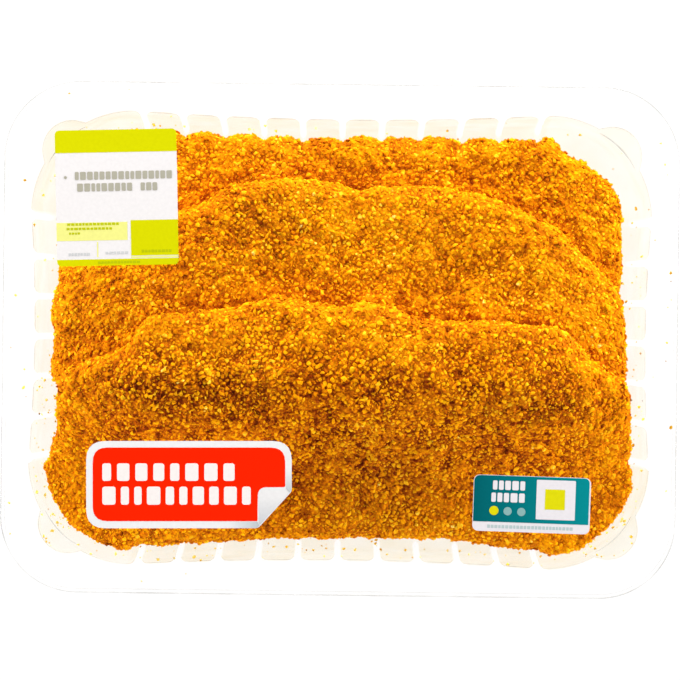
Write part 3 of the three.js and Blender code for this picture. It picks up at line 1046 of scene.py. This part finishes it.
def make_film(material):
    """The film: a thin sheet with faint tension waves, its edge cut parallel to the rim's."""
    columns, rows = FILM_STEPS
    middle = (FILM_LOW.z + FILM_HIGH.z) / 2
    verts = []
    for side in (0.5, -0.5):
        for row in range(rows + 1):
            for column in range(columns + 1):
                x, y = film_point(2 * column / columns - 1, 2 * row / rows - 1)
                verts.append((x, y, middle + film_wave(x, y) + side * FILM_THICKNESS))
    across = columns + 1
    level = across * (rows + 1)
    faces = []
    for row in range(rows):
        for column in range(columns):
            a = row * across + column
            quad = (a, a + 1, a + 1 + across, a + across)
            faces.append(quad)
            faces.append(tuple(level + i for i in reversed(quad)))
    border = list(range(across))
    border += [row * across + columns for row in range(1, rows + 1)]
    border += [rows * across + columns - i for i in range(1, across)]
    border += [(rows - i) * across for i in range(1, rows)]
    for i, start in enumerate(border):
        end = border[(i + 1) % len(border)]
        faces.append((start, start + level, end + level, end))
    film = mesh_object("sealing_film", verts, faces)
    face_outwards(film.data)
    film.data.shade_smooth()
    film.data.set_sharp_from_angle(angle=math.radians(60))
    return dress(film, material, "clear_film", "film_lid")


# ---- Labels ----
# Each label's own u runs from its left edge and v down from its top edge, in millimetres, and its middle
# is the u and v that lie on the middle of its node.
LABEL_FOOT = FILM_HIGH.z - 0.02 * MM
LAYER_STEP = 0.03 * MM
PRICE = {"node": "price_label", "slot": "lime_label", "middle": (20.4, 22.8), "turn": 1.8}
RED = {"node": "red_sticker", "slot": "red_label", "middle": (34.95, 14.4), "turn": 0.7}
TEAL = {"node": "teal_label", "slot": "teal_label", "middle": (19.7, 9.45), "turn": -1.3}


def rounded(left, top, right, bottom, radii=0.0, steps=6):
    """A rectangle's outline. radii is one radius, or four: top left, top right, bottom right, bottom left."""
    radii = radii if isinstance(radii, tuple) else (radii,) * 4
    corners = (
        (left, top, 1, 1, 180),
        (right, top, -1, 1, 270),
        (right, bottom, -1, -1, 0),
        (left, bottom, 1, -1, 90),
    )
    points = []
    for (u, v, du, dv, start), radius in zip(corners, radii):
        if radius <= 0:
            points.append((u, v))
            continue
        for step in range(steps + 1):
            angle = math.radians(start + 90 * step / steps)
            centre = (u + du * radius, v + dv * radius)
            points.append((centre[0] + radius * math.cos(angle), centre[1] + radius * math.sin(angle)))
    return points


def dot(u, v, radius, steps=20):
    turns = [2 * math.pi * step / steps for step in range(steps)]
    return [(u + radius * math.cos(turn), v + radius * math.sin(turn)) for turn in turns]


def print_row(left, top, right, bottom, count, seed, gap=0.22):
    """A row of plain blocks that stands for a line of print."""
    dice = random.Random(seed)
    widths = [dice.uniform(0.8, 1.2) for _ in range(count)]
    pitch = (right - left) / sum(widths)
    gap *= (right - left) / count
    blocks = []
    start = left
    for width in widths:
        end = start + width * pitch
        blocks.append(rounded(start, top, end - gap, bottom, 0.12 * (bottom - top), 2))
        start = end
    return blocks


def rounded_path(points, radii, steps=5):
    """A closed outline with each corner rounded by its own radius."""
    path = []
    for i, (point, radius) in enumerate(zip(points, radii)):
        here = Vector(point)
        if radius <= 0:
            path.append(tuple(here))
            continue
        back = (Vector(points[i - 1]) - here).normalized()
        ahead = (Vector(points[(i + 1) % len(points)]) - here).normalized()
        reach = radius / math.tan(back.angle(ahead) / 2)
        first, last = here + back * reach, here + ahead * reach
        for step in range(steps + 1):
            t = step / steps
            path.append(tuple(first * (1 - t) ** 2 + here * 2 * t * (1 - t) + last * t**2))
    return path


def label_layer(label, name, outlines, layer, material):
    """Flat fields of one colour, each a thin solid that starts inside what it lies on."""
    low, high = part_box(label["node"])
    middle = (low + high) / 2
    turn = math.radians(label["turn"])
    top = FILM_HIGH.z + 0.06 * MM + LAYER_STEP * layer
    verts, faces = [], []
    for outline in outlines:
        first = len(verts)
        count = len(outline)
        for z in (LABEL_FOOT + LAYER_STEP * layer, top):
            for u, v in outline:
                x = (u - label["middle"][0]) * MM
                y = (label["middle"][1] - v) * MM
                turned_x = x * math.cos(turn) - y * math.sin(turn)
                turned_y = x * math.sin(turn) + y * math.cos(turn)
                verts.append((middle.x + turned_x, middle.y + turned_y, z))
        faces.append(tuple(range(first, first + count)))
        faces.append(tuple(range(first + 2 * count - 1, first + count - 1, -1)))
        for i in range(count):
            j = (i + 1) % count
            faces.append((first + i, first + count + i, first + count + j, first + j))
    piece = mesh_object(label["node"] + "_" + name, verts, faces)
    face_outwards(piece.data, cut=True)
    return dress(piece, material, label["slot"], label["node"])


def make_price_label():
    white = paper_material("label_white", srgb(223, 219, 218))
    lime = paper_material("label_lime", srgb(201, 200, 0))
    pale = paper_material("label_pale_green", srgb(224, 222, 128))
    ink = paper_material("label_grey_print", srgb(166, 162, 146))
    faint = paper_material("label_faint_print", srgb(196, 196, 196))
    olive = paper_material("label_olive_print", srgb(176, 182, 10))
    label_layer(PRICE, "paper", [rounded(0, 0, 40.8, 45.6, 1.5)], 0, white)
    label_layer(
        PRICE,
        "lime_fields",
        [
            rounded(0, 0, 40.8, 7.6, (1.5, 1.5, 0, 0)),
            rounded(24.9, 30.5, 40.8, 42.4),
            rounded(0, 43.4, 40.8, 45.6, (0, 0, 1.5, 1.5)),
        ],
        1,
        lime,
    )
    label_layer(
        PRICE,
        "pale_fields",
        [rounded(0, 31.0, 23.8, 37.1), rounded(13.5, 37.6, 13.9, 42.7), rounded(24.9, 42.6, 40.8, 43.2)],
        1,
        pale,
    )
    label_layer(
        PRICE,
        "print",
        [dot(3.3, 15.8, 0.5)]
        + print_row(6.5, 14.0, 39.5, 16.7, 16, 1)
        + print_row(7.2, 17.9, 26.1, 20.6, 9, 2)
        + print_row(28.5, 17.9, 34.5, 20.6, 3, 3),
        2,
        ink,
    )
    label_layer(
        PRICE,
        "small_print",
        print_row(3.9, 41.2, 11.3, 42.1, 7, 4) + print_row(16.3, 40.9, 24.2, 41.8, 6, 5),
        2,
        faint,
    )
    label_layer(
        PRICE,
        "field_print",
        print_row(3.6, 31.2, 21.2, 32.0, 14, 6)
        + print_row(3.4, 32.7, 18.9, 33.5, 12, 7)
        + print_row(4.2, 34.3, 8.1, 35.0, 4, 8)
        + print_row(28.4, 40.5, 38.7, 41.4, 9, 9)
        + print_row(13.7, 44.1, 28.0, 44.9, 13, 10),
        2,
        olive,
    )


def make_red_sticker():
    low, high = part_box("red_sticker")
    white = paper_material("sticker_white", srgb(223, 222, 222))
    red = paper_material("sticker_red", srgb(240, 32, 0), roughness=0.5)
    print_white = paper_material("sticker_print", srgb(232, 224, 220))
    edge = srgb(223, 222, 222)
    side_fade = ("Y", low.y + 13 * MM, low.y + 20 * MM)
    foot_fade = ("X", high.x - 22 * MM, high.x - 12 * MM)
    peel_fade = ("Y", low.y + 1 * MM, low.y + 11 * MM)
    side_shade = paper_material("sticker_side_shade", srgb(186, 192, 194), edge, *side_fade)
    foot_shade = paper_material("sticker_foot_shade", edge, srgb(180, 186, 190), *foot_fade)
    peel = paper_material("sticker_peel", srgb(188, 190, 194), srgb(222, 220, 219), *peel_fade)
    outline = rounded_path([(0, 0), (69, 0), (69, 16.9), (57.7, 29.3), (0, 29.3)], [6.4, 6.4, 2.4, 2.4, 6.4])
    label_layer(RED, "paper", [outline], 0, white)
    side = [(67.0, 9.0), (68.9, 9.0), (68.9, 16.2), (68.2, 17.4), (67.0, 15.9)]
    foot = [(47, 27.1), (57.4, 27.1), (58.2, 28.3), (57.2, 29.2), (47, 29.2)]
    label_layer(RED, "side_border", [side], 1, side_shade)
    label_layer(RED, "foot_border", [foot], 1, foot_shade)
    field = rounded_path(
        [(2.2, 2.2), (66.8, 2.2), (66.8, 15.5), (57.6, 15.5), (57.5, 26.9), (2.2, 26.9)],
        [4.9, 4.9, 0.5, 3.0, 0.5, 4.9],
    )
    label_layer(RED, "red_field", [field], 1, red)
    flap = rounded_path(
        [(58.1, 16.0), (67.2, 16.0), (68.2, 17.2), (58.2, 28.2), (57.9, 27.6)], [2.8, 0.4, 0.3, 0.3, 0.3]
    )
    label_layer(RED, "peel", [flap], 1, peel)
    label_layer(
        RED,
        "print",
        print_row(5.4, 7.5, 51.8, 13.4, 8, 21, 0.34) + print_row(5.4, 15.3, 57.0, 21.4, 10, 22, 0.34),
        2,
        print_white,
    )


def make_teal_label():
    low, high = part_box("teal_label")
    white = paper_material("badge_white", srgb(219, 214, 217))
    teal = paper_material("badge_teal", srgb(0, 88, 95), srgb(4, 130, 135), "X", low.x, high.x)
    yellow = paper_material("badge_yellow", srgb(208, 202, 12))
    muted = paper_material("badge_muted", srgb(128, 166, 164))
    faint = paper_material("badge_faint_print", srgb(176, 190, 190))
    label_layer(TEAL, "paper", [rounded(0, 0, 39.4, 18.9, 2.0)], 0, white)
    label_layer(TEAL, "teal_field", [rounded(0.2, 0.15, 38.9, 15.7, (1.9, 1.6, 0, 0))], 1, teal)
    label_layer(
        TEAL,
        "white_fields",
        [rounded(21.2, 1.1, 34.3, 14.4, 0.3)]
        + print_row(6.5, 1.8, 17.8, 4.9, 5, 31)
        + print_row(6.1, 5.9, 17.8, 9.0, 5, 32),
        2,
        white,
    )
    label_layer(TEAL, "yellow_fields", [rounded(24.1, 4.2, 30.8, 11.0, 0.2), dot(7.1, 11.9, 1.55)], 3, yellow)
    label_layer(TEAL, "muted_dots", [dot(11.7, 12.0, 1.4), dot(16.3, 12.1, 1.4)], 2, muted)
    label_layer(TEAL, "small_print", print_row(5.0, 16.7, 34.0, 17.8, 24, 33), 1, faint)


# ---- Loose crumbs ----
def litter_on_wall(x, y, z):
    """How thickly loose crumbs lie at a place on the tray's inner face, from 0 to 1."""
    front = smooth_ramp(-y, 52 * MM, 66 * MM)
    left = smooth_ramp(-x, 88 * MM, 97 * MM) * smooth_ramp(-y, 5 * MM, 18 * MM)
    right = smooth_ramp(x, 90 * MM, 98 * MM) * smooth_ramp(-y, -42 * MM, -25 * MM)
    corner = front * smooth_ramp(abs(x), 70 * MM, 90 * MM)
    low = 1 - smooth_ramp(z, 3 * MM, 12 * MM)
    return min(1.0, 0.03 + 0.16 * front + 0.5 * left + 0.3 * right + 0.3 * corner + 0.25 * low)


def litter_on_rim(x, y, z):
    """How thickly loose crumbs lie at a place on the rim, which is all at one height."""
    right = smooth_ramp(x, 100 * MM, 108 * MM)
    front = smooth_ramp(-y, 60 * MM, 75 * MM)
    left = smooth_ramp(-x, 100 * MM, 108 * MM) * smooth_ramp(-y, -30 * MM, 10 * MM)
    return min(1.0, 0.16 + 0.7 * right + 0.25 * left + 0.15 * front)


def catch_surface(name, rings, weight):
    """A surface for crumbs to lie on, with its cover noted at each point."""
    points, faces = bridge(rings, Vector((0, 0, 0)), Vector((0, 0, 0)))
    fans = 2 * len(rings[0])
    surface = mesh_object(name, points[:-2], faces[:-fans])
    note_values(surface.data, "cover", [weight(p.x, p.y, p.z) for p in points[:-2]])
    return surface


def make_loose_crumbs(material):
    coat = crumb_tree()
    shapes = crumb_shapes("loose_crumb", 10, 9, 0.8, 13)
    wall = [wall_ring(*row) for row in WALL_ROWS[EDGE_ROW:]]
    rim = [rim_ring(inset * MM, FILM_HIGH.z) for inset in (8.4, 6.5, 4.5, 2.5, 1.2)]
    for name, rings, weight, most, seed in (
        ("wall_crumbs", wall, litter_on_wall, 4.2e4, 61),
        ("rim_crumbs", rim, litter_on_rim, 1.4e4, 67),
    ):
        surface = catch_surface(name, rings, weight)
        mesh = run_tree(
            surface,
            coat,
            {
                "Crumbs": shapes,
                "Spacing": 0.9 * MM,
                "Most": most,
                "Smallest": 0.5 * MM,
                "Largest": 1.7 * MM,
                "Sink": -0.15 * MM,
                "Lowest": WALL + 0.3 * MM,
                "Seed": seed,
                "Darkest": 0.0,
                "Palest": 1.0,
                "Material": material,
            },
        )
        drop_object(surface)
        crumbs = link(bpy.data.objects.new(name, mesh))
        dress(crumbs, material, "breading", "schnitzel_front")
    drop_collection(shapes)


# ---- Stage ----
CAMERA_DISTANCE = 1.6
CAMERA_TILT = math.radians(0.4)
CAMERA_ROLL = math.radians(0.7)
VIEW_WIDTH = 228.2 * MM
SENSOR = 36
FLOOR_Z = -0.1 * MM
FLOOR_REACH = 3
SOFTBOX_HEIGHT = 0.5
SOFTBOXES = (
    ("back_light", (0, 0.95, 0.3), 0.9, 19),
    ("left_light", (-1.05, 0.05, 0.3), 0.7, 15),
    ("right_light", (1.05, 0.05, 0.3), 0.7, 15.5),
    ("front_light", (0, -1.15, 0.32), 0.8, 8),
)


def make_floor():
    corners = [(x * FLOOR_REACH, y * FLOOR_REACH, FLOOR_Z) for x, y in ((-1, -1), (1, -1), (1, 1), (-1, 1))]
    floor = mesh_object("floor", corners, [(0, 1, 2, 3)])
    floor.data.materials.append(floor_material())


def make_camera():
    target = Vector((0, 0, RIM_Z))
    camera_data = bpy.data.cameras.new("camera")
    camera = link(bpy.data.objects.new("camera", camera_data))
    away = Vector((0, math.sin(CAMERA_TILT), math.cos(CAMERA_TILT)))
    camera.location = target + away * CAMERA_DISTANCE
    looking = Matrix.Rotation(-CAMERA_TILT, 4, "X") @ Matrix.Rotation(CAMERA_ROLL, 4, "Z")
    camera.matrix_world = Matrix.Translation(camera.location) @ looking
    camera_data.sensor_width = SENSOR
    camera_data.lens = SENSOR * CAMERA_DISTANCE / VIEW_WIDTH
    camera_data.clip_start = 0.01
    bpy.context.scene.camera = camera


def make_softbox(name, place, width, power):
    data = bpy.data.lights.new(name, "AREA")
    data.shape = "RECTANGLE"
    data.size = width
    data.size_y = SOFTBOX_HEIGHT
    data.energy = power
    lamp = link(bpy.data.objects.new(name, data))
    lamp.location = place
    lamp.rotation_euler = (-Vector(place)).to_track_quat("-Z", "Y").to_euler()


def make_world():
    """A studio room that is brightest near the floor, so that low light picks out the crumbs."""
    world = bpy.data.worlds.new("studio")
    world.use_nodes = True
    tree = world.node_tree
    direction = tree.nodes.new("ShaderNodeTexCoord").outputs["Generated"]
    height = add_node(tree, "ShaderNodeSeparateXYZ", Vector=direction).outputs["Z"]
    wire(tree, spread(tree, height, 0.15, 0.9, 0.42, 0.03), tree.nodes["Background"].inputs["Strength"])
    tree.nodes["Background"].inputs["Color"].default_value = (1, 1, 1, 1)
    bpy.context.scene.world = world


def make_stage():
    make_floor()
    make_camera()
    for softbox in SOFTBOXES:
        make_softbox(*softbox)
    make_world()
    bpy.context.scene.view_settings.view_transform = "Standard"
    bpy.context.scene.cycles.transparent_max_bounces = 32


make_stage()
make_tray(clear_material("clear_tray", (1.0, 0.97, 0.86), 0.012, 0.07, 0.1, 70, 0.1 * MM, grain_or_painted_light=True))
make_film(clear_material("clear_film", (0.7, 0.7, 0.7), 0.001, 0.07, 0.05, 30, 0.03 * MM))
make_schnitzels()
make_loose_crumbs(crumb_material("loose_crumb", LOOSE_STOPS))
make_price_label()
make_red_sticker()
make_teal_label()
